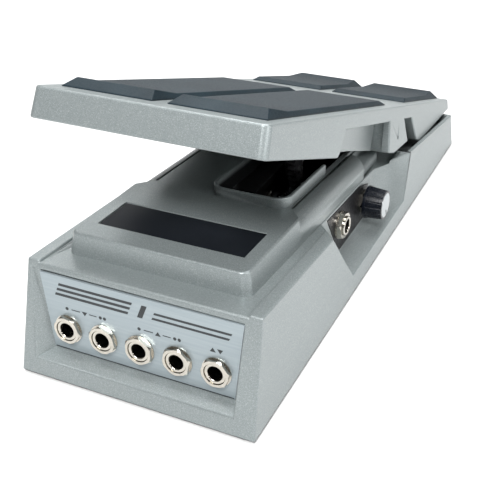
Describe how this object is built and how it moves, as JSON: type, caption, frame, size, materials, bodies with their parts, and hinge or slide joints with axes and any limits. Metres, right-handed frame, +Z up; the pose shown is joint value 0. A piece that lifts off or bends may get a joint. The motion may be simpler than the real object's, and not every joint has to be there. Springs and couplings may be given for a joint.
{
  "type": "volume pedal",
  "caption": "Foot volume pedal: die-cast base with front phone sockets and a side level knob, and a rocking treadle with rubber pads that turns a potentiometer by gears.",
  "frame": {"origin": "on the floor, under the middle of the base", "axes": "+Z up, -Y towards the socket (toe) end, +Y towards the heel end, +X towards the side with the knob"},
  "size_m": [0.11, 0.289, 0.1203],
  "materials": {
    "cast_body": "die-cast, fine-textured silver metallic paint",
    "cast_treadle": "die-cast, fine-textured silver metallic paint",
    "cover_plate": "black powder coat on sheet steel",
    "black_rubber": "matt",
    "dark_screw": "blackened steel",
    "steel_screw": "zinc plated",
    "panel_plate": "brushed, blue-silver",
    "nickel": "nickel plated",
    "socket_metal": "nickel plated bush, dark inside",
    "circuit_board": "green solder mask",
    "dark_plate": "black anodised sheet",
    "satin_pad": "satin",
    "foot_rubber": "fine-textured slate grey",
    "bronze_bush": "sintered bronze",
    "brass_washer": "turned",
    "steel_shaft": "ground",
    "drive_steel": "zinc plated sheet",
    "bracket_steel": "zinc plated sheet",
    "gear_plastic": "black acetal",
    "pot_case": "tin plated case",
    "knob_plastic": "fluted, satin",
    "knob_cap": "spun disc",
    "wire_insulation": "PVC insulation"
  },
  "bodies": {
    "base": {"housing": "cast_body", "bottom_cover": "cover_plate", "rubber_feet": "black_rubber", "cover_screws": "dark_screw", "jack_panel": "panel_plate", "jack_1": "socket_metal", "jack_2": "socket_metal", "jack_3": "socket_metal", "jack_4": "socket_metal", "jack_5": "socket_metal", "side_jack": "socket_metal", "jack_washers": "nickel", "jack_nuts": "nickel", "side_jack_washer": "nickel", "side_jack_nut": "nickel", "jack_board": "circuit_board", "jack_board_screws": "steel_screw", "control_board": "circuit_board", "side_plate": "dark_plate", "platform_pad": "satin_pad", "heel_stops": "black_rubber", "hinge_bushes": "bronze_bush", "torque_screws": "dark_screw", "volume_pot": "pot_case", "pot_bracket": "bracket_steel", "pot_bracket_screws": "steel_screw", "pot_nut": "nickel", "min_pot": "pot_case", "min_pot_nut": "nickel", "wire_harness": "wire_insulation"},
    "treadle": {"treadle": "cast_treadle", "front_pad_left": "foot_rubber", "front_pad_right": "foot_rubber", "heel_pad_left": "foot_rubber", "heel_pad_right": "foot_rubber", "toe_stop": "black_rubber", "drive_arm": "drive_steel", "drive_arm_screws": "steel_screw", "sector_gear": "gear_plastic", "sector_screws": "steel_screw", "hinge_shaft": "steel_shaft", "friction_washers": "brass_washer"},
    "volume_shaft": {"pot_shaft": "steel_shaft", "volume_pinion": "gear_plastic"},
    "min_knob": {"min_pot_shaft": "steel_shaft", "min_knob": "knob_plastic", "min_knob_cap": "knob_cap"}
  },
  "joints": [
    {"name": "treadle_tilt", "type": "hinge", "parent": "base", "child": "treadle", "pos_m": [0, 0.0342, 0.0549], "axis": [1, 0, 0], "range_deg": [0, 17.5]},
    {"name": "volume_turn", "type": "hinge", "parent": "base", "child": "volume_shaft", "pos_m": [0.015, -0.01958, 0.03317], "axis": [1, 0, 0], "range_deg": [-155, 5]},
    {"name": "min_volume_turn", "type": "hinge", "parent": "base", "child": "min_knob", "pos_m": [0.0426, 0.0095, 0.0255], "axis": [1, 0, 0], "range_deg": [0, 300]}
  ],
  "couplings": [
    {"joint": "volume_turn", "follows": "treadle_tilt", "ratio": -8.6667}
  ]
}
